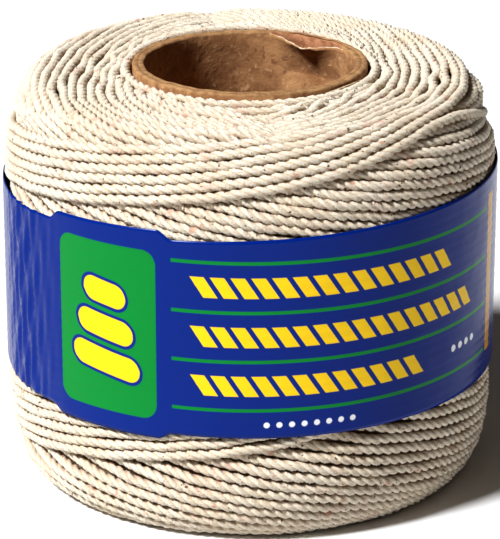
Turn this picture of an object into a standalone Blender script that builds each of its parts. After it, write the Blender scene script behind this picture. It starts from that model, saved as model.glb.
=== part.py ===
"""Roll of natural cotton cable cord, cross-wound on a cardboard core with a printed film band.

Metres, +Z up along the core. The origin is on the floor, under the middle of the roll.
Angles are counted from the front of the roll (-Y) towards its right-hand side (+X).
"""

import math

import bmesh
import bpy
import numpy as np

MM = 0.001

# Driving sizes of the roll
ROLL_RADIUS = 51.0 * MM          # outside of the film band
ROLL_HEIGHT = 86.3 * MM          # the core's two cut ends
CORD_PITCH = 2.07 * MM           # one turn of cord beside the next
FIT_GAP = 0.3 * MM               # between touching pieces
ANGLE_STEPS = 72                 # facets round the roll

# Cardboard core
CORE_RADIUS = 24.2 * MM
CORE_WALL = 2.5 * MM
CORE_BORE = CORE_RADIUS - CORE_WALL
RIM_ROUNDING = 0.5 * MM

# The torn inner ply that bends into the bore, at the back right of the rim
FLAP_ANGLE = 143.0               # degrees, its middle
FLAP_HALF_SPAN = 30.0            # degrees
FLAP_REACH = 3.5 * MM
FLAP_TOP = 2.0 * MM              # below the rim, full reach down to here
FLAP_FOOT = 9.0 * MM             # below the rim, back on the wall here

# Wound cord, its section as radius and height
CROWN_HEIGHT = 84.3 * MM         # beside the core
SHOULDER_TOP = (42.0 * MM, 84.6 * MM)
SHOULDER_FOOT_HEIGHT = 66.3 * MM
SHOULDER_POWER = 2.09            # 2 is a quarter ellipse, more is squarer
HEEL_TOP_HEIGHT = 17.7 * MM
FOOT_RADIUS = 43.3 * MM          # the flat spot that the roll stands on
HEEL_POWER = 2.28
WINDING_RADIUS = ROLL_RADIUS - 0.1 * MM
ARC_STEPS = 40

# The winding stands off the core at the front right
LOOSE_ANGLE = 55.0               # degrees
LOOSE_HALF_SPAN = 35.0           # degrees
LOOSE_GAP = 1.8 * MM

# Film band
BAND_THICKNESS = 0.6 * MM
BAND_TOP = 65.2 * MM
BAND_TOP_TILT = 1.9 * MM         # higher on the right than on the left, half the difference
BAND_FOOT = 24.1 * MM
TAB_ANGLE = -34.0                # degrees, the middle of the taller panel
TAB_HALF_SPAN = 15.0             # degrees
TAB_CORNER = 3.5                 # degrees
TAB_RISE = 1.9 * MM
TAB_DROP = 1.3 * MM
BAND_ROWS = 3

# Relief of the winding
GROOVE = 0.6 * MM                # between two turns of cord
LEDGE_STEP = 1.4 * MM            # the last turns stand this far above those they cross
CLOSED_STRIP = 2.0 * MM          # width kept where a crossing closes
UPPER_TURNS = 16
CROSSED_TURNS = 6
LOWER_TURNS = 9
BAND_SEAT_ROWS = 5

# The lowest of the last turns at the top of the roll, as a distance along the
# section from the core, and the same line at the foot of the roll
UPPER_LEDGE = [
    # (degrees, distance)
    (-62.0, 41.0 * MM),
    (-42.0, 38.9 * MM),
    (-11.0, 35.2 * MM),
    (6.0, 32.9 * MM),
    (25.0, 29.0 * MM),
    (42.0, 26.9 * MM),
    (57.0, 26.5 * MM),
    (80.0, 28.6 * MM),
    (120.0, 35.4 * MM),
    (157.0, 41.5 * MM),
]
LOWER_LEDGE = [
    # (degrees, distance)
    (-215.0, 84.0 * MM),
    (-170.0, 93.0 * MM),
    (-130.0, 100.5 * MM),
    (-100.0, 102.0 * MM),
    (-69.0, 97.9 * MM),
    (-31.0, 91.8 * MM),
    (-7.0, 87.8 * MM),
    (13.0, 84.5 * MM),
]

# Colours, roughness and metallic value of each piece
CORD_COLOUR = (0.82, 0.74, 0.62, 1.0)
CORE_COLOUR = (0.42, 0.27, 0.15, 1.0)
BAND_COLOUR = (0.01, 0.05, 0.38, 1.0)


def clear_scene():
    """Remove every object that is already in the scene."""
    for existing in list(bpy.data.objects):
        bpy.data.objects.remove(existing, do_unlink=True)


def make_material(name, colour, roughness, metallic):
    """Return a plain Principled BSDF material."""
    material = bpy.data.materials.new(name)
    material.use_nodes = True
    shader = material.node_tree.nodes["Principled BSDF"]
    shader.inputs["Base Color"].default_value = colour
    shader.inputs["Roughness"].default_value = roughness
    shader.inputs["Metallic"].default_value = metallic
    return material


def smooth_step(value):
    """Ease from 0 to 1 as value goes from 0 to 1."""
    value = min(1.0, max(0.0, value))
    return value * value * (3.0 - 2.0 * value)


def turn_between(angle, middle):
    """Signed difference of two angles in degrees, from -180 to 180."""
    return (angle - middle + 180.0) % 360.0 - 180.0


def bump(angle, middle, half_span):
    """Rise from 0 to 1 and back over a span of angles."""
    return smooth_step(1.0 - abs(turn_between(angle, middle)) / half_span)


def place(angle, radius, height):
    """Point at an angle in degrees, a radius and a height."""
    turn = math.radians(angle)
    return (radius * math.sin(turn), -radius * math.cos(turn), height)


def facet_angles():
    """Angles of the facets' edges, the same for every piece."""
    return [360.0 * step / ANGLE_STEPS for step in range(ANGLE_STEPS)]


def ring_solid(name, section_at, material):
    """Close the solid whose section at each angle is a loop of (radius, height) points."""
    mesh = bpy.data.meshes.new(name)
    shape = bmesh.new()
    loops = []
    for angle in facet_angles():
        section = section_at(angle)
        loops.append([shape.verts.new(place(angle, radius, height)) for radius, height in section])
    for loop, following in zip(loops, loops[1:] + loops[:1]):
        count = len(loop)
        for index in range(count):
            after = (index + 1) % count
            shape.faces.new((loop[index], following[index], following[after], loop[after]))
    bmesh.ops.recalc_face_normals(shape, faces=shape.faces)
    shape.to_mesh(mesh)
    shape.free()
    mesh.materials.append(material)
    mesh.shade_smooth()
    mesh.set_sharp_from_angle(angle=math.radians(40.0))
    piece = bpy.data.objects.new(name, mesh)
    bpy.context.collection.objects.link(piece)
    return piece


def quarter_turns():
    """Angles of a quarter arc in radians."""
    return np.linspace(0.0, math.pi / 2.0, ARC_STEPS)


def winding_outline():
    """Smooth section of the winding from the core's rim, over the side, to the flat spot."""
    shoulder_radius, shoulder_height = SHOULDER_TOP
    arc = quarter_turns()
    shoulder = 2.0 / SHOULDER_POWER
    heel = 2.0 / HEEL_POWER
    radii = [np.array([CORE_RADIUS + FIT_GAP])]
    heights = [np.array([CROWN_HEIGHT])]
    radii.append(shoulder_radius + (WINDING_RADIUS - shoulder_radius) * np.sin(arc) ** shoulder)
    heights.append(
        SHOULDER_FOOT_HEIGHT + (shoulder_height - SHOULDER_FOOT_HEIGHT) * np.cos(arc) ** shoulder
    )
    radii.append(FOOT_RADIUS + (WINDING_RADIUS - FOOT_RADIUS) * np.cos(arc) ** heel)
    heights.append(HEEL_TOP_HEIGHT * (1.0 - np.sin(arc) ** heel))
    radii = np.concatenate(radii)
    heights = np.concatenate(heights)
    steps = np.hypot(np.diff(radii), np.diff(heights))
    distances = np.concatenate([[0.0], np.cumsum(steps)])
    return distances, radii, heights


OUTLINE = winding_outline()
OUTLINE_LENGTH = float(OUTLINE[0][-1])
SLOPE_PROBE = 0.4 * MM


def outline_point(distance, depth):
    """Radius and height at a distance along the winding's section, sunk by depth."""
    distances, radii, heights = OUTLINE
    radius = float(np.interp(distance, distances, radii))
    height = float(np.interp(distance, distances, heights))
    ends = (distance - SLOPE_PROBE, distance + SLOPE_PROBE)
    along_radius = float(np.diff(np.interp(ends, distances, radii))[0])
    along_height = float(np.diff(np.interp(ends, distances, heights))[0])
    length = math.hypot(along_radius, along_height)
    return (
        radius + depth * along_height / length,
        max(0.0, height - depth * along_radius / length),
    )


def distance_at_height(height):
    """Distance along the section at a height on the roll's upright side."""
    distances, _, heights = OUTLINE
    return float(np.interp(-height, -heights[1:], distances[1:]))


def tab_at(angle):
    """1 over the band's taller panel and 0 beside it, with eased corners."""
    inside = TAB_HALF_SPAN - abs(turn_between(angle, TAB_ANGLE))
    return smooth_step(0.5 + inside / TAB_CORNER)


def band_top(angle):
    """Height of the film band's upper edge."""
    tilt = BAND_TOP_TILT * math.sin(math.radians(angle))
    return BAND_TOP + tilt + TAB_RISE * tab_at(angle)


def band_foot(angle):
    """Height of the film band's lower edge."""
    return BAND_FOOT - TAB_DROP * tab_at(angle)


def ledge_at(table, angle, beyond):
    """Distance of a ledge from its table, or beyond it outside the table's angles."""
    first = table[0][0]
    angle = first + (angle - first) % 360.0
    if angle > table[-1][0]:
        return beyond
    return float(np.interp(angle, [row[0] for row in table], [row[1] for row in table]))


def turns_of_cord(start, end, count, start_depth, end_depth):
    """Crest and groove rows for a number of turns laid between two distances."""
    width = (end - start) / count
    groove = min(GROOVE, GROOVE * width / CORD_PITCH)
    rows = []
    for turn in range(count):
        for part, sunk in ((0.5, 0.0), (1.0, groove)):
            share = (turn + part) / count
            depth = start_depth + (end_depth - start_depth) * share
            rows.append((start + (end - start) * share, depth + sunk))
    return rows


def opened(width):
    """How far a crossing has opened, from 0 to 1, at a strip of this width."""
    return smooth_step((width - CLOSED_STRIP) / (2.0 * CORD_PITCH))


def winding_rows(angle):
    """Distance and depth of every row of the winding's outside at an angle."""
    seat = BAND_THICKNESS + FIT_GAP
    band_start = distance_at_height(band_top(angle)) - 2.0 * FIT_GAP
    band_end = distance_at_height(band_foot(angle)) + 2.0 * FIT_GAP
    upper = min(ledge_at(UPPER_LEDGE, angle, band_start), band_start - CLOSED_STRIP)
    lower = max(ledge_at(LOWER_LEDGE, angle, band_end), band_end + CLOSED_STRIP)
    upper_step = LEDGE_STEP * opened(band_start - upper)
    lower_step = LEDGE_STEP * opened(lower - band_end)
    rows = turns_of_cord(0.0, upper, UPPER_TURNS, 0.0, 0.0)
    rows += turns_of_cord(upper + FIT_GAP, band_start, CROSSED_TURNS, upper_step, upper_step)
    for row in range(BAND_SEAT_ROWS):
        share = row / (BAND_SEAT_ROWS - 1)
        inside = FIT_GAP + (band_end - band_start - 2.0 * FIT_GAP) * share
        rows.append((band_start + inside, seat))
    rows += turns_of_cord(band_end, lower, CROSSED_TURNS, 0.0, 0.0)
    rows += turns_of_cord(lower + FIT_GAP, OUTLINE_LENGTH, LOWER_TURNS, lower_step, 0.0)[:-1]
    return rows


def winding_section(angle):
    """Closed section of the wound cord: outside rows, the flat spot and the hole for the core."""
    hole = CORE_RADIUS + FIT_GAP
    stand_off = LOOSE_GAP * bump(angle, LOOSE_ANGLE, LOOSE_HALF_SPAN)
    section = [(hole + stand_off, CROWN_HEIGHT)]
    section += [outline_point(distance, depth) for distance, depth in winding_rows(angle)]
    section.append((FOOT_RADIUS, 0.0))
    section.append((hole, 0.0))
    section.append((hole, CROWN_HEIGHT - 4.0 * CORD_PITCH))
    return section


def core_section(angle):
    """Closed section of the cardboard tube, with the torn ply bent into its bore."""
    flap = FLAP_REACH * bump(angle, FLAP_ANGLE, FLAP_HALF_SPAN)
    rim = ROLL_HEIGHT
    return [
        (CORE_RADIUS, 0.0),
        (CORE_RADIUS, rim - RIM_ROUNDING),
        (CORE_RADIUS - RIM_ROUNDING, rim),
        (CORE_BORE + RIM_ROUNDING, rim),
        (CORE_BORE - 0.7 * flap, rim - RIM_ROUNDING),
        (CORE_BORE - flap, rim - FLAP_TOP),
        (CORE_BORE, rim - FLAP_FOOT),
        (CORE_BORE, 0.0),
    ]


def band_section(angle):
    """Closed section of the film band, straight up and down outside the winding."""
    outer = ROLL_RADIUS
    inner = ROLL_RADIUS - BAND_THICKNESS
    foot = band_foot(angle)
    top = band_top(angle)
    rows = [foot + (top - foot) * row / BAND_ROWS for row in range(BAND_ROWS + 1)]
    section = [(outer, height) for height in rows]
    section += [(inner, height) for height in reversed(rows)]
    return section


def build():
    """Make the three pieces of the roll."""
    clear_scene()
    cord = make_material("cotton_cord", CORD_COLOUR, 0.95, 0.0)
    cardboard = make_material("cardboard", CORE_COLOUR, 0.9, 0.0)
    film = make_material("printed_film", BAND_COLOUR, 0.25, 0.0)
    ring_solid("core_tube", core_section, cardboard)
    ring_solid("wound_cord", winding_section, cord)
    ring_solid("film_band", band_section, film)


build()
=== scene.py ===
"""Looks of a cross-wound roll of cotton cable cord on a cardboard core, with a printed film band.

Metres, +Z up. Angles are counted from the front of the roll (-Y) towards its right side (+X).
"Distance" is measured along the winding's section: from the core, over the shoulder, down the
side and under the foot back to the core. "Depth" is measured inwards from that section.
"""

import math

import bpy
import numpy as np
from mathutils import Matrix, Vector


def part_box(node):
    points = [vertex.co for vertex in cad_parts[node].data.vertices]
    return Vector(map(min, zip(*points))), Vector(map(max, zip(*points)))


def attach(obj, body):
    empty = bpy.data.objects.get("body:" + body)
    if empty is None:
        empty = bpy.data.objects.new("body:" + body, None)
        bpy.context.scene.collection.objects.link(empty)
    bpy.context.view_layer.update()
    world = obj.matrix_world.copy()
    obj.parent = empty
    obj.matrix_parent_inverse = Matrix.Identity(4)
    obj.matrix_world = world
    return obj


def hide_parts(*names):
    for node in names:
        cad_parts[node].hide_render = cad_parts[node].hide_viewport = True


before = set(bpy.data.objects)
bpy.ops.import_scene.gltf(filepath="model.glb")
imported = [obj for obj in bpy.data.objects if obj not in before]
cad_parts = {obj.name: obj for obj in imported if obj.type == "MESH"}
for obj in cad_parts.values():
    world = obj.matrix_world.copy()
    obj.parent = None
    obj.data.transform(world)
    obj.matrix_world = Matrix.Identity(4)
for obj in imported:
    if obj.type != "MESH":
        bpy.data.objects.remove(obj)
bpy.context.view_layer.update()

MM = 0.001
BODY = "root"
SEED = 18

# Sizes read from the parts in model.glb
BAND_LOW, BAND_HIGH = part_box("film_band")
CORE_LOW, CORE_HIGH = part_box("core_tube")
ROLL_RADIUS = 0.5 * (BAND_HIGH[0] - BAND_LOW[0])
ROLL_HEIGHT = CORE_HIGH[2]
CORE_RADIUS = 0.5 * (CORE_HIGH[0] - CORE_LOW[0])
CORE_WALL = 2.5 * MM

# Section of the winding, as in the solids
CROWN_HEIGHT = 84.3 * MM
SHOULDER_TOP = (42.0 * MM, 84.6 * MM)
SHOULDER_FOOT_HEIGHT = 66.3 * MM
SHOULDER_POWER = 2.09
HEEL_TOP_HEIGHT = 17.7 * MM
FOOT_RADIUS = 43.3 * MM
HEEL_POWER = 2.28
WINDING_RADIUS = ROLL_RADIUS - 0.1 * MM
CORE_GAP = 0.3 * MM
ARC_STEPS = 120

# The film band's edges, as in the solids
BAND_TOP = 65.2 * MM
BAND_TOP_TILT = 1.9 * MM
BAND_FOOT = 24.1 * MM
TAB_ANGLE = -34.0
TAB_HALF_SPAN = 15.0
TAB_CORNER = 3.5
TAB_RISE = 1.9 * MM
TAB_DROP = 1.3 * MM

# Cord
CORD_RADIUS = 1.13 * MM  # to the crest of a strand
CORD_PITCH = 2.07 * MM  # one turn beside the next, above the film band
FOOT_PITCH = 2.35 * MM  # and below it
STRANDS = 3
STRAND_TWIST = 6.9 * MM  # length of one full turn of a strand
STRAND_RADIUS = 0.57  # of the cord's radius
STRAND_OFFSET = 0.43
STRAND_POINTS = 4  # section points on each strand
RING_STEP = 0.73 * MM  # along the cord
STRAND_UNEVENNESS = 0.035  # of a section point's radius
PAINTED_SHADE_START = 0.75  # of the cord's radius, where the painted shade on its sides starts
PAINTED_SHADE_SPAN = 1.1  # and the part of the radius over which that painted shade deepens
UV_SHIFT = 40.0  # largest random start of a cord's map
SAMPLE_COUNT = 1440  # points round the roll at which a line is worked out
CROSSING_DEPTH = 1.7 * MM  # how far a crossed turn lies under those over it
CROSSING_RISE = 4.5 * MM  # length in which it comes up again
HIDDEN_MARGIN = 3.2 * MM  # cord kept under its cover before it is left out
BASE_DEPTH = 3.4 * MM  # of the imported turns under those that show

# Guide lines of the families of turns, as (degrees, millimetres along the section): the last turn
# over the shoulder, how far the turns inside it stay behind it on the right, the turns that it
# crosses outside and inside it, the last turn at the foot, and the turns that it crosses there
LAST_LINE = [
    (-180.0, 46.0), (-150.0, 47.5), (-120.0, 46.5), (-100.0, 44.0),
    (-75.0, 40.3), (-60.0, 38.6), (-50.0, 37.5), (-40.0, 36.3),
    (-30.0, 35.0), (-20.0, 33.8), (-10.0, 32.6), (0.0, 31.3),
    (10.0, 30.1), (20.0, 28.7), (30.0, 26.7), (43.0, 24.0),
    (50.0, 23.3), (57.0, 23.0), (66.0, 23.9), (75.0, 26.1),
    (90.0, 30.0), (110.0, 35.5), (140.0, 42.0),
]
INNER_LAG = [
    (-180.0, 0.0), (57.0, 0.0), (66.0, 1.4), (75.0, 4.1),
    (90.0, 8.3), (110.0, 12.5), (130.0, 13.0), (150.0, 9.0),
    (165.0, 4.0),
]
CROSSED_LINE = [
    (-180.0, 28.5), (-150.0, 21.0), (-125.0, 16.5), (-100.0, 14.5),
    (-75.0, 15.0), (-60.0, 16.8), (-40.0, 20.1), (-20.0, 23.9),
    (0.0, 27.6), (10.0, 29.3), (20.0, 30.8), (30.0, 32.3),
    (40.0, 33.6), (60.0, 36.0), (75.0, 37.6), (90.0, 38.5),
    (120.0, 38.0), (150.0, 34.0),
]
FACE_LINE = [
    (-180.0, 15.0), (-150.0, 8.5), (-120.0, 3.6), (-100.0, 2.0),
    (-80.0, 3.5), (-60.0, 7.5), (-40.0, 12.0), (-20.0, 16.0),
    (0.0, 19.5), (20.0, 22.5), (60.0, 26.0), (120.0, 24.0),
]
FOOT_LAST_LINE = [
    (-170.0, 90.5), (-130.0, 98.5), (-100.0, 99.5), (-75.0, 96.3),
    (-60.0, 93.6), (-50.0, 91.9), (-40.0, 90.3), (-30.0, 88.8),
    (-20.0, 87.3), (-10.0, 86.3), (0.0, 84.7), (10.0, 83.1),
    (40.0, 78.0), (80.0, 73.0), (110.0, 73.0), (150.0, 82.0),
]
FOOT_LINE = [
    (-150.0, 83.0), (-120.0, 77.5), (-95.0, 74.8), (-75.0, 75.2),
    (-60.0, 77.5), (-50.0, 79.3), (-40.0, 81.3), (-30.0, 83.4),
    (-20.0, 85.5), (-10.0, 87.6), (0.0, 89.5), (10.0, 91.1),
    (20.0, 92.9), (30.0, 94.8), (40.0, 96.5), (50.0, 98.4),
    (60.0, 100.0), (75.0, 102.0), (90.0, 103.0), (110.0, 102.6),
    (140.0, 99.0), (180.0, 90.5),
]
LINE_SMOOTHING = 5.0  # degrees

# Camera, solved from the photograph's outline
FOCAL_PIXELS = 3000.0
LONG_SIDE_PIXELS = 539.0
SENSOR_SIZE = 36.0
CAMERA_DISTANCE = 11.612 * ROLL_RADIUS
CAMERA_HEIGHT = 5.063 * ROLL_RADIUS
CAMERA_PITCH = 20.17

random = np.random.default_rng(SEED)
ANGLES = np.linspace(-180.0, 180.0, SAMPLE_COUNT, endpoint=False)


def smooth_step(value):
    """Ease from 0 to 1 as value goes from 0 to 1."""
    value = np.clip(value, 0.0, 1.0)
    return value * value * (3.0 - 2.0 * value)


def turn_between(angle, middle):
    """Signed difference of angles in degrees, from -180 to 180."""
    return (angle - middle + 180.0) % 360.0 - 180.0


def round_blur(values, degrees):
    """Gaussian blur of values that run once round the roll."""
    order = np.fft.rfftfreq(len(values), d=1.0 / len(values))
    spread = math.radians(degrees)
    return np.fft.irfft(np.fft.rfft(values) * np.exp(-0.5 * (order * spread) ** 2), n=len(values))


def line_from(table):
    """Smooth closed line round the roll through a table of (degrees, millimetres)."""
    angles = [row[0] for row in table]
    distances = [row[1] * MM for row in table]
    return round_blur(np.interp(ANGLES, angles, distances, period=360.0), LINE_SMOOTHING)


def wander(first, last, size):
    """Smooth random values round the roll, made of waves from first to last per turn."""
    turns = np.radians(ANGLES)
    total = np.zeros(SAMPLE_COUNT)
    for waves in range(first, last + 1):
        total += random.normal() * np.cos(waves * turns + random.uniform(0.0, 2.0 * math.pi))
    return total * size / math.sqrt(0.5 * (last - first + 1))


def winding_outline():
    """Distances, radii and heights along the winding's section."""
    shoulder_radius, shoulder_height = SHOULDER_TOP
    core_edge = CORE_RADIUS + CORE_GAP
    arc = np.linspace(0.0, math.pi / 2.0, ARC_STEPS)
    shoulder = 2.0 / SHOULDER_POWER
    heel = 2.0 / HEEL_POWER
    crown = np.linspace(0.0, 1.0, ARC_STEPS, endpoint=False)
    radii = np.concatenate([
        core_edge + (shoulder_radius - core_edge) * crown,
        shoulder_radius + (WINDING_RADIUS - shoulder_radius) * np.sin(arc) ** shoulder,
        FOOT_RADIUS + (WINDING_RADIUS - FOOT_RADIUS) * np.cos(arc) ** heel,
        [core_edge],
    ])
    heights = np.concatenate([
        CROWN_HEIGHT + (shoulder_height - CROWN_HEIGHT) * crown,
        SHOULDER_FOOT_HEIGHT + (shoulder_height - SHOULDER_FOOT_HEIGHT) * np.cos(arc) ** shoulder,
        HEEL_TOP_HEIGHT * (1.0 - np.sin(arc) ** heel),
        [0.0],
    ])
    steps = np.hypot(np.diff(radii), np.diff(heights))
    distances = np.concatenate([[0.0], np.cumsum(steps)])
    return distances, radii, heights


OUTLINE_STEP = 0.25 * MM
NORMAL_BLUR = 5  # outline steps
SIDE_LOWEST = 1.0 * MM  # height above which a height means one distance
SIDE_START = 20.0 * MM  # distance past which it does


def even_outline():
    """The winding's section at even steps, with its outward normals."""
    distances, radii, heights = winding_outline()
    even = np.arange(0.0, distances[-1], OUTLINE_STEP)
    radii = np.interp(even, distances, radii)
    heights = np.interp(even, distances, heights)
    along = np.gradient(radii)
    down = np.gradient(heights)
    kernel = np.ones(NORMAL_BLUR) / NORMAL_BLUR
    along = np.convolve(np.pad(along, NORMAL_BLUR // 2, mode="edge"), kernel, mode="valid")
    down = np.convolve(np.pad(down, NORMAL_BLUR // 2, mode="edge"), kernel, mode="valid")
    length = np.hypot(along, down)
    return even, radii, heights, -down / length, along / length


OUTLINE = even_outline()
OUTLINE_LENGTH = OUTLINE[0][-1]


def round_points(turns, radius, height):
    """Points from angles in radians, radii and heights of any matching shapes."""
    x = radius * np.sin(turns)
    y = -radius * np.cos(turns)
    return np.stack(np.broadcast_arrays(x, y, height), axis=-1)


def on_winding(angles, distances, depths):
    """Points and outward normals on the winding, at a depth under its section."""
    even, radii, heights, out_radius, out_height = OUTLINE
    distances = np.clip(distances, 0.0, OUTLINE_LENGTH)
    normal_radius = np.interp(distances, even, out_radius)
    normal_height = np.interp(distances, even, out_height)
    radius = np.interp(distances, even, radii) - depths * normal_radius
    height = np.interp(distances, even, heights) - depths * normal_height
    turns = np.radians(angles)
    return round_points(turns, radius, height), round_points(turns, normal_radius, normal_height)


def tab_at(angles):
    """1 over the band's taller panel and 0 beside it."""
    inside = TAB_HALF_SPAN - np.abs(turn_between(angles, TAB_ANGLE))
    return smooth_step(0.5 + inside / TAB_CORNER)


def band_top(angles):
    """Height of the film band's upper edge."""
    return BAND_TOP + BAND_TOP_TILT * np.sin(np.radians(angles)) + TAB_RISE * tab_at(angles)


def band_foot(angles):
    """Height of the film band's lower edge."""
    return BAND_FOOT - TAB_DROP * tab_at(angles)


def distance_at(heights):
    """Distance along the section at heights on the upright side."""
    even, _, outline_heights, _, _ = OUTLINE
    side = (outline_heights > SIDE_LOWEST) & (even > SIDE_START)
    return np.interp(-heights, -outline_heights[side], even[side])


def make_mesh(name, points, faces, corner_uvs=None, painted_shade_mask=None):
    """New object from points, quads or triangles, one (u, v) for each face corner and one
    painted shade value for each point, 0 on the open side of a cord and 1 between the turns."""
    mesh = bpy.data.meshes.new(name)
    corners = faces.shape[1]
    mesh.vertices.add(len(points))
    mesh.vertices.foreach_set("co", np.ascontiguousarray(points, dtype=np.float32).ravel())
    mesh.loops.add(faces.size)
    mesh.loops.foreach_set("vertex_index", np.ascontiguousarray(faces, dtype=np.int32).ravel())
    mesh.polygons.add(len(faces))
    mesh.polygons.foreach_set("loop_start", np.arange(0, faces.size, corners, dtype=np.int32))
    if corner_uvs is not None:
        layer = mesh.uv_layers.new(name="UVMap")
        layer.data.foreach_set("uv", np.ascontiguousarray(corner_uvs, dtype=np.float32).ravel())
    if painted_shade_mask is not None:
        layer = mesh.attributes.new("painted_shade_mask", "FLOAT", "POINT")
        layer.data.foreach_set("value", np.ascontiguousarray(painted_shade_mask, dtype=np.float32))
    mesh.update(calc_edges=True)
    mesh.validate()
    mesh.shade_smooth()
    piece = bpy.data.objects.new(name, mesh)
    bpy.context.collection.objects.link(piece)
    return piece


def strand_section():
    """Angles and radii of the cord's lobed section, for strands round its middle."""
    sides = STRANDS * STRAND_POINTS
    angles = 2.0 * math.pi * np.arange(sides) / sides
    spacing = 2.0 * math.pi / STRANDS
    off = (angles + 0.5 * spacing) % spacing - 0.5 * spacing
    reach = STRAND_RADIUS ** 2 - (STRAND_OFFSET * np.sin(off)) ** 2
    return angles, CORD_RADIUS * (STRAND_OFFSET * np.cos(off) + np.sqrt(reach))


def resampled(centres, normals):
    """A centre line and its normals at even ring steps, and each ring's place along it."""
    steps = np.linalg.norm(np.diff(centres, axis=0), axis=1)
    along = np.concatenate([[0.0], np.cumsum(steps)])
    rings = max(4, int(round(along[-1] / RING_STEP)))
    where = np.linspace(0.0, along[-1], rings + 1)
    centre = np.stack([np.interp(where, along, centres[:, axis]) for axis in range(3)], axis=1)
    normal = np.stack([np.interp(where, along, normals[:, axis]) for axis in range(3)], axis=1)
    return where, centre, normal


def ring_directions(centre, normal, closed):
    """Directions in the plane of each ring: out of the roll, and across the cord."""
    tangent = np.gradient(centre, axis=0)
    if closed:
        tangent[0] = tangent[-1] = centre[1] - centre[-2]
    tangent /= np.linalg.norm(tangent, axis=1, keepdims=True)
    across = np.cross(tangent, normal)
    across /= np.linalg.norm(across, axis=1, keepdims=True)
    return np.cross(across, tangent), across


class CordBuilder:
    """Collects tubes of twisted cord and joins them in one mesh."""

    def __init__(self):
        self.points = []
        self.faces = []
        self.uvs = []
        self.painted_shade_mask = []
        self.count = 0
        self.section = strand_section()

    def add(self, centres, normals, closed):
        """Lay one cord along its centre line. The normals point out of the roll."""
        if closed:
            centres = np.vstack([centres, centres[:1]])
            normals = np.vstack([normals, normals[:1]])
        where, centre, normal = resampled(centres, normals)
        normal, across = ring_directions(centre, normal, closed)
        turns = where[-1] / STRAND_TWIST
        if closed:
            turns = round(turns * STRANDS) / STRANDS
        phase = random.uniform(0.0, 2.0 * math.pi) + 2.0 * math.pi * turns * where / where[-1]
        angles, radii = self.section
        turned = angles[None, :] + phase[:, None]
        radii = radii * (1.0 + STRAND_UNEVENNESS * random.normal(size=turned.shape))
        if closed:
            radii[-1] = radii[0]
        outward = radii * np.cos(turned)
        sideways = radii * np.sin(turned)
        points = centre[:, None, :] + outward[:, :, None] * normal[:, None, :]
        points = points + sideways[:, :, None] * across[:, None, :]
        # a closed turn ends on its first ring, with a last step of double length
        rings = len(where) - 2 if closed else len(where)
        sides = len(angles)
        index = np.arange(rings)[:, None] * sides + np.arange(sides)[None, :]
        if closed:
            # that ring comes round turned by whole strands
            shift = int(round(turns * sides)) % sides
            index = np.vstack([index, np.roll(index[0], -shift)])
        index = index + self.count
        self.add_faces(index, where[: len(index)])
        # painted shade, from 0 on the cord's open side to 1 on its sides between the turns
        painted_shade_mask = (PAINTED_SHADE_START - outward[:rings] / CORD_RADIUS) / PAINTED_SHADE_SPAN
        self.painted_shade_mask.append(smooth_step(painted_shade_mask).ravel())
        self.points.append(points[:rings].reshape(-1, 3))
        self.count += rings * sides
        if not closed:
            self.cap(index[0][::-1])
            self.cap(index[-1])

    def add_faces(self, index, where):
        """Quads between rings of point numbers, mapped by length along the cord and share round it."""
        sides = index.shape[1]
        near, far = index[:-1], index[1:]
        quads = np.stack([near, np.roll(near, -1, axis=1), np.roll(far, -1, axis=1), far], axis=-1)
        share = np.arange(sides + 1) / sides
        start = random.uniform(0.0, UV_SHIFT)
        corner_u = np.stack([where[:-1], where[:-1], where[1:], where[1:]], axis=-1)[:, None, :]
        corner_u = np.broadcast_to(corner_u, quads.shape) / CORD_RADIUS + start
        corner_v = np.stack([share[:-1], share[1:], share[1:], share[:-1]], axis=-1)[None, :, :]
        corner_v = np.broadcast_to(corner_v, quads.shape)
        self.faces.append(quads.reshape(-1, 4))
        self.uvs.append(np.stack([corner_u, corner_v], axis=-1).reshape(-1, 2))

    def cap(self, ring):
        """Close a cut end with quads between opposite sides of its ring."""
        half = len(ring) // 2
        quads = [
            (ring[step], ring[step + 1], ring[-step - 2], ring[-step - 1]) for step in range(half - 1)
        ]
        self.faces.append(np.array(quads))
        self.uvs.append(np.zeros((len(quads) * 4, 2)))

    def finish(self, name):
        """Join what was laid into one object."""
        points = np.concatenate(self.points)
        faces = np.concatenate(self.faces)
        return make_mesh(name, points, faces, np.concatenate(self.uvs), np.concatenate(self.painted_shade_mask))


def runs_of(shown):
    """Start and end positions of the shown stretches of a closed line."""
    if shown.all():
        return None
    first = int(np.argmin(shown))
    turned = np.roll(shown, -first).astype(int)
    edges = np.diff(np.concatenate([[0], turned, [0]]))
    starts = np.nonzero(edges == 1)[0] + first
    ends = np.nonzero(edges == -1)[0] + first
    return list(zip(starts, ends))


def beyond(distances, low, high):
    """How far distances lie outside the strip from low to high."""
    return np.maximum(low - distances, distances - high)


COLLAR_LIFT = 1.5 * MM  # the winding is a little higher beside the core
COLLAR_WIDTH = 9.0 * MM
BACK_LIFT = 1.4 * MM  # and at the back of the top face
BACK_EDGE = (28.0 * MM, 10.0 * MM)  # distance at which that lift starts to fade, and its fade
SHORTEST_RUN = 12  # samples; only a longer stretch of cord is laid


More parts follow.
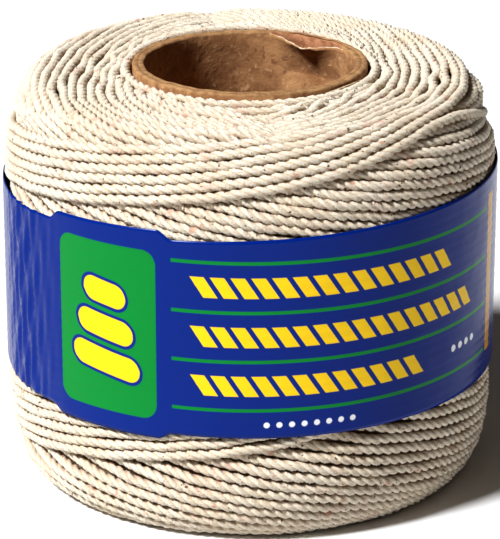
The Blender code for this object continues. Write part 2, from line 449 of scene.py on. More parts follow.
def lay_turn(builder, line, depth, shown):
    """Lay the shown stretches of one turn whose crest is at a depth under the section."""
    line = np.clip(line, CORD_RADIUS, OUTLINE_LENGTH - CORD_RADIUS)
    depth = depth - COLLAR_LIFT * (1.0 - smooth_step(line / COLLAR_WIDTH))
    back = np.clip(-np.cos(np.radians(ANGLES)), 0.0, 1.0)
    depth = depth - BACK_LIFT * back * (1.0 - smooth_step((line - BACK_EDGE[0]) / BACK_EDGE[1]))
    points, normals = on_winding(ANGLES, line, depth + CORD_RADIUS)
    runs = runs_of(shown)
    if runs is None:
        builder.add(points, normals, True)
        return
    for start, end in runs:
        chosen = np.arange(start, end) % SAMPLE_COUNT
        if len(chosen) > SHORTEST_RUN:
            builder.add(points[chosen], normals[chosen], False)


BAND_START = distance_at(band_top(ANGLES))
BAND_END = distance_at(band_foot(ANGLES))


def off_band(line):
    """Where a line isn't hidden under the film band."""
    return beyond(line, BAND_START, BAND_END) > -HIDDEN_MARGIN


def under(line, low, high):
    """How much a turn is pressed under the strip from low to high, from 0 to 1."""
    return 1.0 - smooth_step(beyond(line, low, high) / CROSSING_RISE)


def not_buried(line, low, high):
    """Where a turn isn't buried deep under the strip from low to high."""
    return beyond(line, low, high) > -HIDDEN_MARGIN


# Turns above the film band, counted from their guide lines
LAST_TURNS = 6  # over the shoulder
INNER_TURNS = 16  # inside those, on the right of the top face
CROSSED_FROM = -10  # outside the last turns
CROSSED_TO = 14
FACE_FROM = -6  # inside the last turns, on the left of the top face
FACE_TO = 15
COLLAR_TURNS = 3  # round the core
LAST_SINK = 0.7 * MM  # of the last turn where it leaves the others
LAST_PRESS = 0.75  # how deep it presses the crossed turns there, as a share
# (fewest waves in a turn, most waves, size)
SIDE_WANDER = (4, 30, 0.10 * MM)
FACE_WANDER = (3, 18, 0.28 * MM)
DEPTH_WANDER = (5, 34, 0.10 * MM)
FACE_EDGE = (14.0 * MM, 12.0 * MM)  # distance at which the face's wander starts to fade, and its fade
NEAR_CORE = 3.0 * MM  # turns this near to the core come up from under the others
FACE_SPAN = (-168.0, 8.0)  # degrees, where the left turns lie over the inner ones
FACE_EASE = 22.0  # degrees
DIVED = 0.03  # share below which a family of turns is left out
CORE_CLEARANCE = 0.3 * MM  # turns nearer to the core than this are left out
COLLAR_START = 1.2 * MM  # middle of the first turn round the core
COLLAR_STEP_DOWN = 0.5 * MM  # each next one lies this much deeper
COLLAR_WANDER = 0.5  # share of the other turns' wander


def unevenness(line):
    """Sideways wander of a turn, larger on the top face than on the side."""
    on_face = 1.0 - smooth_step((line - FACE_EDGE[0]) / FACE_EDGE[1])
    small = wander(*SIDE_WANDER)
    large = wander(*FACE_WANDER)
    return small + on_face * large


def near_core(line):
    """How much a turn is tucked in beside the core, from 0 to 1."""
    return 1.0 - smooth_step(line / NEAR_CORE)


def face_share():
    """1 where the turns of the left of the top face lie on top, 0 where they have dived."""
    start, end = FACE_SPAN
    middle = 0.5 * (start + end)
    half = 0.5 * (end - start)
    return smooth_step(0.5 + (half - np.abs(turn_between(ANGLES, middle))) / FACE_EASE)


def ripple():
    """Small depth changes of a turn, never above the section."""
    return np.abs(wander(*DEPTH_WANDER))


def upper_winding():
    """The turns above the film band, in two pieces: the last ones, and those they cross."""
    last = line_from(LAST_LINE)
    inner = last - line_from(INNER_LAG)
    last_low = inner - (LAST_TURNS - 1) * CORD_PITCH - CORD_RADIUS
    last_high = inner - CORD_PITCH + CORD_RADIUS
    on_face = face_share()
    top = CordBuilder()
    for turn in range(LAST_TURNS):
        line = (inner if turn else last) - turn * CORD_PITCH
        line = line + unevenness(line)
        depth = ripple()
        if turn == 0:
            depth = depth + LAST_SINK * smooth_step((last - inner) / CORD_PITCH - 1.0)
        lay_turn(top, line, depth, off_band(line))
    for turn in range(LAST_TURNS, LAST_TURNS + INNER_TURNS):
        line = inner - turn * CORD_PITCH
        line = line + unevenness(line)
        depth = CROSSING_DEPTH * np.maximum(on_face, near_core(line)) + ripple()
        shown = off_band(line) & (on_face < 1.0 - DIVED)
        lay_turn(top, line, depth, shown & (line > CORE_CLEARANCE))
    below = CordBuilder()
    crossed = line_from(CROSSED_LINE)
    for turn in range(CROSSED_FROM, CROSSED_TO + 1):
        line = crossed + turn * CORD_PITCH
        line = line + unevenness(line)
        sunk = under(line, last_low, last_high)
        last_share = LAST_PRESS * under(line, last - CORD_RADIUS, last + CORD_RADIUS)
        sunk = np.maximum(sunk, last_share)
        depth = CROSSING_DEPTH * sunk + ripple()
        shown = off_band(line) & not_buried(line, last_low, last_high)
        lay_turn(below, line, depth, shown & (line > inner - CORD_PITCH))
    face = line_from(FACE_LINE)
    for turn in range(FACE_FROM, FACE_TO + 1):
        line = face + turn * CORD_PITCH
        line = line + unevenness(line)
        sunk = np.maximum(under(line, last_low, last_high), near_core(line))
        depth = CROSSING_DEPTH * np.maximum(sunk, 1.0 - on_face) + ripple()
        shown = not_buried(line, last_low, last_high) & (on_face > DIVED)
        lay_turn(below, line, depth, shown & (line > CORE_CLEARANCE) & (line < last))
    for turn in range(COLLAR_TURNS):
        line = np.full(SAMPLE_COUNT, COLLAR_START + turn * CORD_PITCH)
        line = line + COLLAR_WANDER * unevenness(last)
        depth = COLLAR_STEP_DOWN * turn + ripple()
        lay_turn(below, line, depth, not_buried(line, last_low, last_high))
    return top.finish("last_turns"), below.finish("crossed_turns")


# Turns below the film band
FOOT_LAST_TURNS = 10
FOOT_LAST_PITCH = 2.2 * MM
FOOT_FROM = -9
FOOT_TO = 21
FOOT_SPLIT = 7  # turns from here on make the piece under the heel
FOOT_TAPER_START = 92.0 * MM  # distance from which the turns lose their slant
FOOT_TAPER_END = 131.0 * MM
FOOT_TAPER = 0.9  # share of the slant that is lost
FOOT_CROSSING_DEPTH = 1.25 * MM


def lower_winding():
    """The turns below the film band, in two pieces: on the side, and from the heel inwards."""
    last = line_from(FOOT_LAST_LINE)
    last_low = last - (FOOT_LAST_TURNS - 1) * FOOT_LAST_PITCH - CORD_RADIUS
    last_high = last + CORD_RADIUS
    side = CordBuilder()
    heel = CordBuilder()
    for turn in range(FOOT_LAST_TURNS):
        line = last - turn * FOOT_LAST_PITCH + wander(*SIDE_WANDER)
        lay_turn(side, line, ripple(), off_band(line))
    guide = line_from(FOOT_LINE)
    middle = np.interp(0.0, ANGLES, guide)
    for turn in range(FOOT_FROM, FOOT_TO + 1):
        level = middle + turn * FOOT_PITCH
        taper = np.clip((level - FOOT_TAPER_START) / (FOOT_TAPER_END - FOOT_TAPER_START), 0.0, 1.0)
        line = level + (guide - middle) * (1.0 - FOOT_TAPER * taper) + wander(*SIDE_WANDER)
        depth = FOOT_CROSSING_DEPTH * under(line, last_low, last_high) + ripple()
        shown = off_band(line) & not_buried(line, last_low, last_high) & (line > last)
        lay_turn(heel if turn >= FOOT_SPLIT else side, line, depth, shown)
    return side.finish("side_turns"), heel.finish("heel_turns")


def grid_faces(rows, columns, wrap_rows, wrap_columns):
    """Quads of a grid of points, closed along either side if asked."""
    row = np.arange(rows if wrap_rows else rows - 1)
    column = np.arange(columns if wrap_columns else columns - 1)
    here = row[:, None] * columns + column[None, :]
    right = row[:, None] * columns + ((column + 1) % columns)[None, :]
    below = ((row + 1) % rows)[:, None] * columns + column[None, :]
    across = ((row + 1) % rows)[:, None] * columns + ((column + 1) % columns)[None, :]
    return np.stack([here, below, across, right], axis=-1).reshape(-1, 4)


# Packed turns under those that show
PACKED_COLUMNS = 180
PACKED_GROOVE = 0.3 * MM
PACKED_FOOT = 0.2 * MM  # its lowest height
PACKED_WALL_INSET = 4.0 * MM  # of its inner wall from the foot and the crown


def packed_turns():
    """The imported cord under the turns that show, a closed body with level grooves."""
    distances = np.arange(0.0, OUTLINE_LENGTH, CORD_PITCH / 2.0)
    angles = np.linspace(-180.0, 180.0, PACKED_COLUMNS, endpoint=False)
    groove = PACKED_GROOVE * np.cos(2.0 * math.pi * distances / CORD_PITCH)
    depth = np.broadcast_to((BASE_DEPTH - groove)[:, None], (len(distances), len(angles)))
    points, _ = on_winding(angles[None, :], distances[:, None], depth)
    points[..., 2] = np.maximum(points[..., 2], PACKED_FOOT)
    radius = CORE_RADIUS + CORE_GAP
    turns = np.radians(angles)
    walls = []
    for height in (PACKED_WALL_INSET, CROWN_HEIGHT - PACKED_WALL_INSET):
        walls.append(round_points(turns, radius, np.full(PACKED_COLUMNS, height)))
    points = np.concatenate([points, np.array(walls)])
    faces = grid_faces(points.shape[0], PACKED_COLUMNS, True, True)
    return make_mesh("packed_turns", points.reshape(-1, 3), faces)


# Film band
FILM_THICKNESS = 0.15 * MM
FILM_CLEARANCE = 0.05 * MM
FILM_RIDGE = 0.05 * MM  # how far the turns show through
FILM_COLUMNS = 600
FILM_ROWS = 56
LAP_ANGLE = -63.0  # degrees, where the film laps and crinkles
LAP_WIDTH = 9.0  # degrees
LAP_HEIGHT = 0.22 * MM
LAP_REST = 1.8  # keeps the crinkles out of the cord
CRINKLES = [
    # (size, waves round, radians up in a metre, start)
    (1.0, 95.0, 160.0, 0.0),
    (0.7, 143.0, -310.0, 1.3),
    (0.5, 30.0, 520.0, 0.0),
]


def film_band():
    """The printed film, a thin closed sleeve that takes the turns' ridges and a crinkled lap."""
    angles = np.linspace(-180.0, 180.0, FILM_COLUMNS, endpoint=False)
    share = np.linspace(0.0, 1.0, FILM_ROWS)[:, None]
    foot = band_foot(angles)[None, :]
    top = band_top(angles)[None, :]
    heights = foot + (top - foot) * share
    ridges = FILM_RIDGE * np.cos(2.0 * math.pi * heights / CORD_PITCH)
    turns = np.radians(angles)[None, :]
    lap = np.exp(-(((angles - LAP_ANGLE) / LAP_WIDTH) ** 2))[None, :]
    crinkle = sum(
        size * np.sin(turns * waves_round + heights * waves_up + start)
        for size, waves_round, waves_up, start in CRINKLES
    )
    radius = ROLL_RADIUS + FILM_CLEARANCE + ridges + LAP_HEIGHT * lap * (crinkle + LAP_REST)
    outer = radius + FILM_THICKNESS
    shells = []
    for shell, order in ((outer, slice(None)), (radius, slice(None, None, -1))):
        shells.append(round_points(turns, shell, heights)[order])
    points = np.concatenate(shells)
    rows = points.shape[0]
    faces = grid_faces(rows, FILM_COLUMNS, True, True)
    corner = faces.reshape(rows, FILM_COLUMNS, 4)
    column_u = np.arange(FILM_COLUMNS + 1) / FILM_COLUMNS
    u = np.stack([column_u[:-1], column_u[:-1], column_u[1:], column_u[1:]], axis=-1)
    v = points[..., 2].reshape(-1)[corner]
    u = np.broadcast_to(u[None, :, :], v.shape)
    return make_mesh("printed_film", points.reshape(-1, 3), faces, np.stack([u, v], -1).reshape(-1, 2))


# Cardboard tube and its torn ply
RIM_ROUNDING = 0.45 * MM
RIM_WEAR = 0.05 * MM
RIM_WAVES = ((7.0, 0.0), (17.0, 1.0), (31.0, 0.0))  # waves round the rim and their starts
RIM_GROOVE = 0.15 * MM  # between the plies, on the rim
FLAP_ANGLE = 143.0
FLAP_HALF_SPAN = 30.0
FLAP_REACH = 4.2 * MM
FLAP_FOOT = 9.0 * MM
FLAP_DROP = 0.5 * MM  # of the rim and the lip where the ply has come away
PLY_THICKNESS = 0.45 * MM
RECESS_DEPTH = 2.2 * PLY_THICKNESS
TUBE_COLUMNS = 240
SPLIT_ROWS = (5, 9)  # rows of the tube's section where the board has split
SPLIT_FROM = 0.12  # lean of the ply from which the split shows


def flap_at(angles):
    """How far the torn ply leans into the bore, from 0 to 1."""
    off = np.abs(turn_between(angles, FLAP_ANGLE)) / FLAP_HALF_SPAN
    return smooth_step(1.0 - off)


def core_tube():
    """The cardboard tube: worn rim, paper plies, and a recess where the inner ply has come away."""
    angles = np.linspace(-180.0, 180.0, TUBE_COLUMNS, endpoint=False)
    turns = np.radians(angles)
    bore = CORE_RADIUS - CORE_WALL
    rim = ROLL_HEIGHT
    recess = RECESS_DEPTH * smooth_step(flap_at(angles) * 2.0)
    wear = RIM_WEAR * sum(np.sin(turns * waves + start) for waves, start in RIM_WAVES)
    section = [
        # (radius, height, how far the recess opens it, how worn it is)
        (CORE_RADIUS, 0.3 * MM, 0.0, 0.0),
        (CORE_RADIUS - 0.3 * MM, 0.0, 0.0, 0.0),
        (bore + 0.3 * MM, 0.0, 0.0, 0.0),
        (bore, 0.3 * MM, 0.0, 0.0),
        (bore, rim - FLAP_FOOT - 2.0 * MM, 0.0, 0.0),
        (bore, rim - FLAP_FOOT + 2.0 * MM, 0.6, 0.0),
        (bore, rim - 3.0 * MM, 1.0, 0.0),
        (bore, rim - RIM_ROUNDING, 1.0, 0.6),
        (bore + 0.3 * RIM_ROUNDING, rim - 0.3 * RIM_ROUNDING, 1.0, 1.0),
        (bore + RIM_ROUNDING, rim, 1.0, 1.0),
        (bore + 0.45 * CORE_WALL, rim - 0.3 * RIM_GROOVE, 0.4, 1.0),
        (bore + 0.5 * CORE_WALL, rim - RIM_GROOVE, 0.2, 1.0),
        (bore + 0.55 * CORE_WALL, rim, 0.0, 1.0),
        (CORE_RADIUS - RIM_ROUNDING, rim - 0.2 * RIM_GROOVE, 0.0, 1.0),
        (CORE_RADIUS - 0.3 * RIM_ROUNDING, rim - 0.3 * RIM_ROUNDING, 0.0, 1.0),
        (CORE_RADIUS, rim - RIM_ROUNDING, 0.0, 0.6),
        (CORE_RADIUS, rim - 6.0 * MM, 0.0, 0.0),
    ]
    rows = []
    for radius, height, opened, worn in section:
        radii = radius + recess * opened
        heights = height + wear * worn - FLAP_DROP * opened * worn * flap_at(angles)
        rows.append(round_points(turns, radii, heights))
    points = np.array(rows)
    faces = grid_faces(len(rows), TUBE_COLUMNS, True, True)
    piece = make_mesh("cardboard_tube", points.reshape(-1, 3), faces)
    split = np.zeros((len(rows), TUBE_COLUMNS), dtype=np.int32)
    split[SPLIT_ROWS[0] : SPLIT_ROWS[1]] = (flap_at(angles) > SPLIT_FROM)[None, :]
    piece.data.polygons.foreach_set("material_index", split.ravel())
    return piece


LIP_POINTS = 120
LIP_POWER = 1.3  # draws the lip to a point
LIP_DIP = 0.9 * MM  # of the lip's edge where it leans furthest
LIP_CURL = 0.07 * MM
PLY_ROWS = 14
PLY_BEND = 2.6  # keeps the bend of the ply near its lip


def torn_lip():
    """Angles of the torn ply, and the radii and heights of its free edge."""
    angles = np.linspace(FLAP_ANGLE - FLAP_HALF_SPAN, FLAP_ANGLE + FLAP_HALF_SPAN, LIP_POINTS)
    lean = flap_at(angles) ** LIP_POWER
    curl = LIP_CURL * (np.sin(angles * 0.31) + np.sin(angles * 0.83 + 0.5))
    reach = FLAP_REACH * lean * (1.0 + 0.05 * np.sin(angles * 0.45))
    radii = CORE_RADIUS - CORE_WALL - reach
    heights = ROLL_HEIGHT - FLAP_DROP - LIP_DIP * lean + curl
    return angles, lean, radii, heights


def torn_ply():
    """The inner ply that has come away at the rim and leans into the bore."""
    angles, _, edge_radii, edge_heights = torn_lip()
    share = np.linspace(0.0, 1.0, PLY_ROWS)[:, None]
    bore = CORE_RADIUS - CORE_WALL
    low = ROLL_HEIGHT - FLAP_FOOT
    heights = low + (edge_heights[None, :] - low) * share
    inner = bore + (edge_radii[None, :] - bore) * share ** PLY_BEND
    inner = inner + PLY_THICKNESS * (1.0 - smooth_step(share * 2.0))
    turns = np.radians(angles)[None, :]
    sheets = []
    for radius, order in ((inner, slice(None)), (inner + PLY_THICKNESS, slice(None, None, -1))):
        sheets.append(round_points(turns, radius, heights)[order])
    points = np.concatenate(sheets)
    faces = grid_faces(points.shape[0], len(angles), True, False)
    return make_mesh("torn_ply", points.reshape(-1, 3), faces)


STRIP_SIDES = 6
EDGE_RADIUS = 0.10 * MM  # of the pale torn edge at its ends
SLIVER_SPAN = (38.0, 66.0)  # degrees
SLIVER_POINTS = 40
SLIVER_OFF = 0.35 * MM  # from the outer wall at its ends
SLIVER_BOW = 0.5 * MM
SLIVER_DROP = 1.1 * MM  # below the rim at its ends
SLIVER_RADIUS = (0.05 * MM, 0.13 * MM)  # at its ends, and what is added at its middle


def thin_tube(name, centres, radius):
    """Thin round strip of paper along a line."""
    tangent = np.gradient(centres, axis=0)
    tangent /= np.linalg.norm(tangent, axis=1, keepdims=True)
    across = np.cross(tangent, np.array([0.0, 0.0, 1.0]))
    across /= np.linalg.norm(across, axis=1, keepdims=True)
    up = np.cross(across, tangent)
    turns = 2.0 * math.pi * np.arange(STRIP_SIDES) / STRIP_SIDES
    ring = np.cos(turns)[None, :, None] * across[:, None, :]
    ring = ring + np.sin(turns)[None, :, None] * up[:, None, :]
    points = centres[:, None, :] + radius[:, None, None] * ring
    return make_mesh(name, points.reshape(-1, 3), grid_faces(len(centres), STRIP_SIDES, False, True))


def torn_edges():
    """Pale fuzzy edges of torn paper: on the leaning ply, and a sliver by the outer wall."""
    angles, lean, radii, heights = torn_lip()
    turns = np.radians(angles)
    ply = round_points(turns, radii + 0.5 * PLY_THICKNESS, heights + 0.05 * MM)
    edge_radius = EDGE_RADIUS + EDGE_RADIUS * lean * (1.0 + 0.5 * np.sin(angles * 2.3))
    sliver_turns = np.radians(np.linspace(*SLIVER_SPAN, SLIVER_POINTS))
    lift = np.sin(np.linspace(0.0, math.pi, SLIVER_POINTS))
    sliver_radii = CORE_RADIUS + SLIVER_OFF + SLIVER_BOW * lift
    sliver_heights = ROLL_HEIGHT - SLIVER_DROP * (1.0 - 0.4 * lift)
    sliver = round_points(sliver_turns, sliver_radii, sliver_heights)
    sliver_radius = SLIVER_RADIUS[0] + SLIVER_RADIUS[1] * lift
    edge = thin_tube("torn_edge", ply, edge_radius)
    return edge, thin_tube("paper_sliver", sliver, sliver_radius)


# Numbers of the colour sockets of a Mix node
MIX_INPUTS = (0, 6, 7)
MIX_OUTPUT = 2


class Shading:
    """Small helper that adds and links shader nodes."""

    def __init__(self, name):
        self.material = bpy.data.materials.new(name)
        self.material.use_nodes = True
        self.tree = self.material.node_tree
        self.shader = self.tree.nodes["Principled BSDF"]

    def put(self, socket, value):
        """Link a socket to an output, or set its plain value."""
        if isinstance(value, bpy.types.NodeSocket):
            self.tree.links.new(value, socket)
        else:
            socket.default_value = value

    def math(self, operation, first, second=0.0, third=0.0):
        """Output of a Math node."""
        node = self.tree.nodes.new("ShaderNodeMath")
        node.operation = operation
        for socket, value in zip(node.inputs, (first, second, third)):
            self.put(socket, value)
        return node.outputs[0]

    def uv(self):
        """The (u, v) outputs of the piece's own map."""
        node = self.tree.nodes.new("ShaderNodeUVMap")
        node.uv_map = "UVMap"
        split = self.tree.nodes.new("ShaderNodeSeparateXYZ")
        self.tree.links.new(node.outputs[0], split.inputs[0])
        return split.outputs[0], split.outputs[1]

    def place(self):
        """The point's own coordinates in the object, in metres."""
        node = self.tree.nodes.new("ShaderNodeTexCoord")
        return node.outputs["Object"]

    def scaled(self, x, x_scale, y, y_scale):
        """Level vector from two values, each times its scale."""
        node = self.tree.nodes.new("ShaderNodeCombineXYZ")
        self.put(node.inputs[0], self.math("MULTIPLY", x, x_scale))
        self.put(node.inputs[1], self.math("MULTIPLY", y, y_scale))
        return node.outputs[0]

    def noise(self, vector, scale, detail=2.0, roughness=0.5):
        """Grey output of a Noise texture."""
        node = self.tree.nodes.new("ShaderNodeTexNoise")
        self.put(node.inputs["Vector"], vector)
        node.inputs["Scale"].default_value = scale
        node.inputs["Detail"].default_value = detail
        node.inputs["Roughness"].default_value = roughness
        return node.outputs[0]

    def ramp(self, value, low, high):
        """Ease from 0 to 1 as a value goes from low to high."""
        node = self.tree.nodes.new("ShaderNodeMapRange")
        node.interpolation_type = "SMOOTHSTEP"
        for socket, given in zip(node.inputs, (value, low, high)):
            self.put(socket, given)
        return node.outputs[0]

    def mix(self, share, first, second):
        """Mix of two colours."""
        node = self.tree.nodes.new("ShaderNodeMix")
        node.data_type = "RGBA"
        for number, value in zip(MIX_INPUTS, (share, first, second)):
            self.put(node.inputs[number], value)
        return node.outputs[MIX_OUTPUT]

    def bump(self, height, distance, strength=1.0):
        """Normal from a height."""
        node = self.tree.nodes.new("ShaderNodeBump")
        node.inputs["Strength"].default_value = strength
        node.inputs["Distance"].default_value = distance
        self.put(node.inputs["Height"], height)
        return node.outputs[0]

    def finish(self, colour, roughness, normal=None, **plain):
        """Set the shader's sockets and return the material."""
        self.put(self.shader.inputs["Base Color"], colour)
        self.put(self.shader.inputs["Roughness"], roughness)
        if normal is not None:
            self.put(self.shader.inputs["Normal"], normal)
        for name, value in plain.items():
            self.shader.inputs[name.replace("_", " ")].default_value = value
        return self.material


COTTON_PALE = (0.86, 0.78, 0.64, 1.0)
COTTON_STAIN = (0.80, 0.69, 0.53, 1.0)
COTTON_TINT = (0.78, 0.62, 0.50, 1.0)
# painted shade colours: between the yarns, in the strands' grooves and between the turns
PAINTED_YARN_SHADE = (0.66, 0.52, 0.38, 1.0)
PAINTED_GROOVE_SHADE = (0.50, 0.34, 0.20, 1.0)
PAINTED_GAP_SHADE = (0.42, 0.26, 0.14, 1.0)
SEED_FLECK = (0.16, 0.08, 0.04, 1.0)
COTTON_BLUSH = (0.62, 0.33, 0.22, 1.0)


def cotton_material():
    """Natural cotton cord: cream strands of fine yarns, seed flecks, soft stains and painted shade in
    its hollows.
    """
    look = Shading("cotton")
    u, v = look.uv()
    place = look.place()
    twist = CORD_RADIUS / STRAND_TWIST
    around = look.math("MULTIPLY_ADD", u, twist, v)
    yarns = look.noise(look.scaled(u, 0.35, around, 22.0), 1.0, 3.0)
    fibres = look.noise(look.scaled(u, 2.2, around, 70.0), 1.0, 2.0)
    stain = look.noise(place, 90.0, 3.0)
    tint = look.noise(place, 210.0, 2.0)
    share = look.math("FRACT", look.math("MULTIPLY_ADD", v, float(STRANDS), 0.5))
    # where the strands meet, for the painted shade in their grooves
    groove = look.ramp(look.math("ABSOLUTE", look.math("SUBTRACT", share, 0.5)), 0.30, 0.5)
    painted_shade_mask = look.tree.nodes.new("ShaderNodeAttribute")
    painted_shade_mask.attribute_name = "painted_shade_mask"
    colour = look.mix(look.ramp(stain, 0.35, 0.7), COTTON_PALE, COTTON_STAIN)
    colour = look.mix(look.ramp(tint, 0.55, 0.75), colour, COTTON_TINT)
    # painted shade in the low parts of the yarns' bumps
    colour = look.mix(look.ramp(yarns, 0.45, 0.2), colour, PAINTED_YARN_SHADE)
    # painted shade in the grooves between the strands
    colour = look.mix(look.math("MULTIPLY", groove, 0.55), colour, PAINTED_GROOVE_SHADE)
    # painted shade on the cord's sides between the turns
    colour = look.mix(look.math("MULTIPLY", painted_shade_mask.outputs["Fac"], 0.75), colour, PAINTED_GAP_SHADE)
    flecks = look.noise(place, 900.0, 1.0)
    colour = look.mix(look.ramp(flecks, 0.715, 0.75), colour, SEED_FLECK)
    blush = look.noise(place, 420.0, 1.0)
    colour = look.mix(look.math("MULTIPLY", look.ramp(blush, 0.68, 0.76), 0.7), colour, COTTON_BLUSH)
    lint = look.noise(place, 2600.0, 2.0, 0.7)
    height = look.math("MULTIPLY_ADD", fibres, 0.45, yarns)
    height = look.math("ADD", height, lint)
    normal = look.bump(height, 0.26 * MM, 0.9)
    return look.finish(colour, 0.95, normal, Sheen_Weight=0.15, Sheen_Roughness=0.6)


def painted_shade_packed_material():
    """Cotton seen between the turns, in dark browns that are painted shade."""
    look = Shading("packed_cotton_painted_shade")
    mottle = look.noise(look.place(), 300.0, 3.0)
    # painted shade: dark browns in place of the lit cream cotton
    colour = look.mix(mottle, (0.30, 0.19, 0.11, 1.0), (0.44, 0.31, 0.20, 1.0))
    return look.finish(colour, 1.0, look.bump(mottle, 0.3 * MM))


BOARD_BROWN = (0.27, 0.125, 0.048, 1.0)
BOARD_TAN = (0.46, 0.245, 0.11, 1.0)
BOARD_PALE = (0.60, 0.37, 0.20, 1.0)
BOARD_DARK = (0.24, 0.11, 0.05, 1.0)
RIM_BROWN = (0.27, 0.14, 0.06, 1.0)
RIM_TAN = (0.42, 0.24, 0.105, 1.0)


def cardboard_material():
    """Brown board: mottled paper fibre, with another shade on the worn rim."""
    look = Shading("cardboard")
    place = look.place()
    mottle = look.noise(place, 160.0, 4.0, 0.6)
    fibre = look.noise(place, 620.0, 3.0, 0.65)
    split = look.tree.nodes.new("ShaderNodeSeparateXYZ")
    look.put(split.inputs[0], place)
    rim = look.ramp(split.outputs[2], ROLL_HEIGHT - 0.9 * MM, ROLL_HEIGHT - 0.1 * MM)
    colour = look.mix(look.ramp(mottle, 0.3, 0.7), BOARD_BROWN, BOARD_TAN)
    colour = look.mix(look.ramp(fibre, 0.55, 0.75), colour, BOARD_PALE)
    colour = look.mix(look.ramp(fibre, 0.45, 0.3), colour, BOARD_DARK)
    rim_colour = look.mix(look.ramp(fibre, 0.35, 0.65), RIM_BROWN, RIM_TAN)
    colour = look.mix(rim, colour, rim_colour)
    height = look.math("MULTIPLY_ADD", mottle, 0.6, fibre)
    return look.finish(colour, 0.9, look.bump(height, 0.25 * MM, 0.8))


def torn_material():
    """Pale torn paper fibres."""
    look = Shading("torn_paper")
    fibre = look.noise(look.place(), 900.0, 2.0)
    colour = look.mix(look.ramp(fibre, 0.35, 0.65), (0.50, 0.31, 0.17, 1.0), (0.80, 0.66, 0.47, 1.0))
    return look.finish(colour, 0.95)


def torn_face_material():
    """Reddish brown face of the ply, rough where it has split."""
    look = Shading("split_board")
    fibre = look.noise(look.place(), 520.0, 4.0, 0.7)
    colour = look.mix(look.ramp(fibre, 0.35, 0.65), (0.24, 0.095, 0.04, 1.0), (0.44, 0.21, 0.11, 1.0))
    return look.finish(colour, 0.95, look.bump(fibre, 0.4 * MM))


# Print on the film, in millimetres round the band and above the floor
PRINT_BLUE = (0.0, 0.020, 0.20, 1.0)
PRINT_GREEN = (0.0, 0.23, 0.035, 1.0)
PRINT_YELLOW = (0.95, 0.62, 0.01, 1.0)
PRINT_OCHRE = (0.62, 0.30, 0.01, 1.0)
PRINT_WHITE = (0.85, 0.87, 0.90, 1.0)
PRINT_EDGE = 0.12  # millimetres over which a printed edge blurs
PANEL = (-30.3, 44.3, 11.6, 17.6, 3.0)  # middle, its height, half width, half height, corner
COIL_TURNS = ((51.5, 5.0), (44.3, 6.6), (37.1, 8.0))  # (height, half width)
COIL_HALF_HEIGHT = 2.5
COIL_SLOPE = 0.16
COIL_OUTLINE = 0.7
BAR = ((63.0, 66.5), (29.0, 63.0))
PINSTRIPE_HALF_HEIGHT = 0.35
PINSTRIPES = [
    # (from, to, height)
    (-15.5, 62.0, 60.6),
    (-15.5, 62.0, 50.4),
    (-15.5, 62.0, 40.2),
    (-15.5, 62.0, 30.0),
]
ROPE_SLOPE = 0.65
ROPE_SHARE = 0.35  # half of the share of a motif's length that is printed
ROPE_ROWS = [
    # (from, to, height, half height, length of a motif)
    (-11.0, 48.0, 55.5, 2.1, 4.0),
    (-11.0, 56.0, 45.3, 2.1, 4.0),
    (-11.0, 40.0, 35.1, 2.1, 4.0),
]
DOT_ROWS = [
    # (from, to, height, radius, spacing)
    (46.0, 56.0, 35.1, 0.75, 2.5),
    (2.0, 22.0, 26.9, 0.6, 2.5),
]


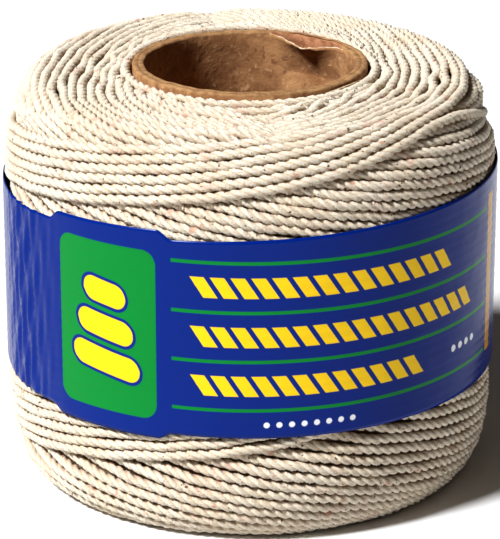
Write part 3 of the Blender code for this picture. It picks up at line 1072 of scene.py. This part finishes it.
class Print(Shading):
    """Shapes printed on a band, in millimetres along x and y."""

    def edge(self, inside):
        """1 where a distance in millimetres is inside, with a soft edge."""
        return self.ramp(inside, -PRINT_EDGE, PRINT_EDGE)

    def strip(self, value, low, high):
        """1 between two values."""
        from_low = self.math("SUBTRACT", value, low)
        from_high = self.math("SUBTRACT", high, value)
        return self.edge(self.math("MINIMUM", from_low, from_high))

    def both(self, first, second):
        """1 where both shapes are."""
        return self.math("MULTIPLY", first, second)

    def away(self, x, y):
        """Distance from (0, 0)."""
        return self.math("SQRT", self.math("ADD", self.both(x, x), self.both(y, y)))

    def either(self, first, second):
        """1 where either shape is."""
        return self.math("MAXIMUM", first, second)

    def rounded(self, x, y, shape, grow=0.0):
        """Rounded rectangle from (middle x, middle y, half width, half height, corner)."""
        middle_x, middle_y, half_width, half_height, corner = shape
        off_x = self.math("ABSOLUTE", self.math("SUBTRACT", x, middle_x))
        off_y = self.math("ABSOLUTE", self.math("SUBTRACT", y, middle_y))
        out_x = self.math("MAXIMUM", self.math("SUBTRACT", off_x, half_width - corner), 0.0)
        out_y = self.math("MAXIMUM", self.math("SUBTRACT", off_y, half_height - corner), 0.0)
        return self.edge(self.math("SUBTRACT", corner + grow, self.away(out_x, out_y)))

    def rope_row(self, x, y, row):
        """Row of slanted strands, like the outside of a twisted cord."""
        start, end, height, half_height, length = row
        up = self.math("SUBTRACT", y, height)
        along = self.math("MULTIPLY_ADD", up, ROPE_SLOPE, x)
        share = self.math("FRACT", self.math("DIVIDE", self.math("SUBTRACT", along, start), length))
        off = self.math("ABSOLUTE", self.math("SUBTRACT", share, 0.5))
        inside = self.math("MULTIPLY", self.math("SUBTRACT", ROPE_SHARE, off), length)
        shape = self.both(self.edge(inside), self.strip(y, height - half_height, height + half_height))
        whole_end = start + length * int((end - start) / length)
        return self.both(shape, self.strip(along, start, whole_end))

    def dot_row(self, x, y, row):
        """Row of round dots."""
        start, end, height, radius, spacing = row
        share = self.math("FRACT", self.math("DIVIDE", self.math("SUBTRACT", x, start), spacing))
        off_x = self.math("MULTIPLY", self.math("SUBTRACT", share, 0.5), spacing)
        off_y = self.math("SUBTRACT", y, height)
        dots = self.edge(self.math("SUBTRACT", radius, self.away(off_x, off_y)))
        return self.both(dots, self.strip(x, start, end))

    def coil(self, x, y, grow):
        """Upright coil of three thick rounded turns, each wider than the last."""
        level = self.math("MULTIPLY_ADD", self.math("SUBTRACT", x, PANEL[0]), COIL_SLOPE, y)
        shape = 0.0
        for height, half_width in COIL_TURNS:
            bar = (PANEL[0], height, half_width, COIL_HALF_HEIGHT, COIL_HALF_HEIGHT)
            shape = self.either(shape, self.rounded(x, level, bar, grow))
        return shape


def film_material():
    """Glossy film with a generic print: a green panel with a coil, and rows of rope twist."""
    look = Print("printed_film")
    u, v = look.uv()
    x = look.math("MULTIPLY", look.math("SUBTRACT", u, 0.5), 2.0 * math.pi * ROLL_RADIUS / MM)
    y = look.math("DIVIDE", v, MM)
    colour = PRINT_BLUE
    for start, end, height in PINSTRIPES:
        level = look.strip(y, height - PINSTRIPE_HALF_HEIGHT, height + PINSTRIPE_HALF_HEIGHT)
        line = look.both(level, look.strip(x, start, end))
        colour = look.mix(line, colour, PRINT_GREEN)
    for row in ROPE_ROWS:
        colour = look.mix(look.rope_row(x, y, row), colour, PRINT_YELLOW)
    for row in DOT_ROWS:
        colour = look.mix(look.dot_row(x, y, row), colour, PRINT_WHITE)
    colour = look.mix(look.rounded(x, y, PANEL), colour, PRINT_GREEN)
    colour = look.mix(look.coil(x, y, COIL_OUTLINE), colour, PRINT_BLUE)
    colour = look.mix(look.coil(x, y, 0.0), colour, PRINT_YELLOW)
    colour = look.mix(look.both(look.strip(x, *BAR[0]), look.strip(y, *BAR[1])), colour, PRINT_OCHRE)
    crease = look.noise(look.place(), 60.0, 3.0)
    normal = look.bump(crease, 0.9 * MM, 0.6)
    return look.finish(colour, 0.24, normal, Specular_IOR_Level=0.18)


def dress(piece, materials):
    """Give a piece its materials and body."""
    for material in materials:
        piece.data.materials.append(material)
    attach(piece, BODY)


# Studio
SUN_AZIMUTH = -54.0
SUN_ELEVATION = 50.0
SUN_STRENGTH = 4.8
SUN_SPREAD = 10.0  # degrees, for soft edges to its shadows
SUN_COLOUR = (0.97, 0.98, 1.0)
WORLD_COLOUR = (1.0, 0.86, 0.72, 1.0)
WORLD_STRENGTH = 0.06
FLOOR_COLOUR = (0.82, 0.82, 0.82, 1.0)
FLOOR_HALF = 3.0


def add_sun():
    """Soft key light from the left."""
    data = bpy.data.lights.new("key", "SUN")
    data.energy = SUN_STRENGTH
    data.angle = math.radians(SUN_SPREAD)
    data.color = SUN_COLOUR
    light = bpy.data.objects.new("key", data)
    turn = math.radians(SUN_AZIMUTH)
    rise = math.radians(SUN_ELEVATION)
    level = math.cos(rise)
    towards = Vector((math.sin(turn) * level, -math.cos(turn) * level, math.sin(rise)))
    light.location = towards
    light.rotation_euler = towards.to_track_quat("Z", "Y").to_euler()
    bpy.context.collection.objects.link(light)


def build_studio():
    """Pale floor, soft light and the photograph's camera."""
    signs = np.array([(-1, -1, 0), (1, -1, 0), (1, 1, 0), (-1, 1, 0)])
    corners = FLOOR_HALF * signs
    floor = make_mesh("floor", corners, np.array([[0, 1, 2, 3]]))
    floor.data.materials.append(Shading("floor").finish(FLOOR_COLOUR, 0.9))
    world = bpy.data.worlds.new("studio")
    world.use_nodes = True
    background = world.node_tree.nodes["Background"]
    background.inputs["Color"].default_value = WORLD_COLOUR
    background.inputs["Strength"].default_value = WORLD_STRENGTH
    bpy.context.scene.world = world
    bpy.context.scene.view_settings.view_transform = "Standard"
    bpy.context.scene.view_settings.look = "Medium High Contrast"
    add_sun()
    camera_data = bpy.data.cameras.new("camera")
    camera_data.sensor_width = SENSOR_SIZE
    camera_data.lens = FOCAL_PIXELS * SENSOR_SIZE / LONG_SIDE_PIXELS
    camera_data.clip_start = 0.01
    camera = bpy.data.objects.new("camera", camera_data)
    camera.location = (0.0, -CAMERA_DISTANCE, CAMERA_HEIGHT)
    camera.rotation_euler = (math.radians(90.0 - CAMERA_PITCH), 0.0, 0.0)
    bpy.context.collection.objects.link(camera)
    bpy.context.scene.camera = camera


cotton = cotton_material()
cord_pieces = upper_winding() + lower_winding()
packed = packed_turns()
for cord_piece in cord_pieces:
    dress(cord_piece, [cotton])
dress(packed, [painted_shade_packed_material()])
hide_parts("wound_cord")

film = film_band()
dress(film, [film_material()])
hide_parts("film_band")

board = cardboard_material()
tube = core_tube()
split_board = torn_face_material()
dress(tube, [board, split_board])
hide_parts("core_tube")
flap = torn_ply()
dress(flap, [board])
torn = torn_material()
edges = torn_edges()
for edge_piece in edges:
    dress(edge_piece, [torn])

build_studio()

for piece in cord_pieces + edges + (packed, film, tube, flap):
    print(piece.name, "triangles", sum(len(face.vertices) - 2 for face in piece.data.polygons))
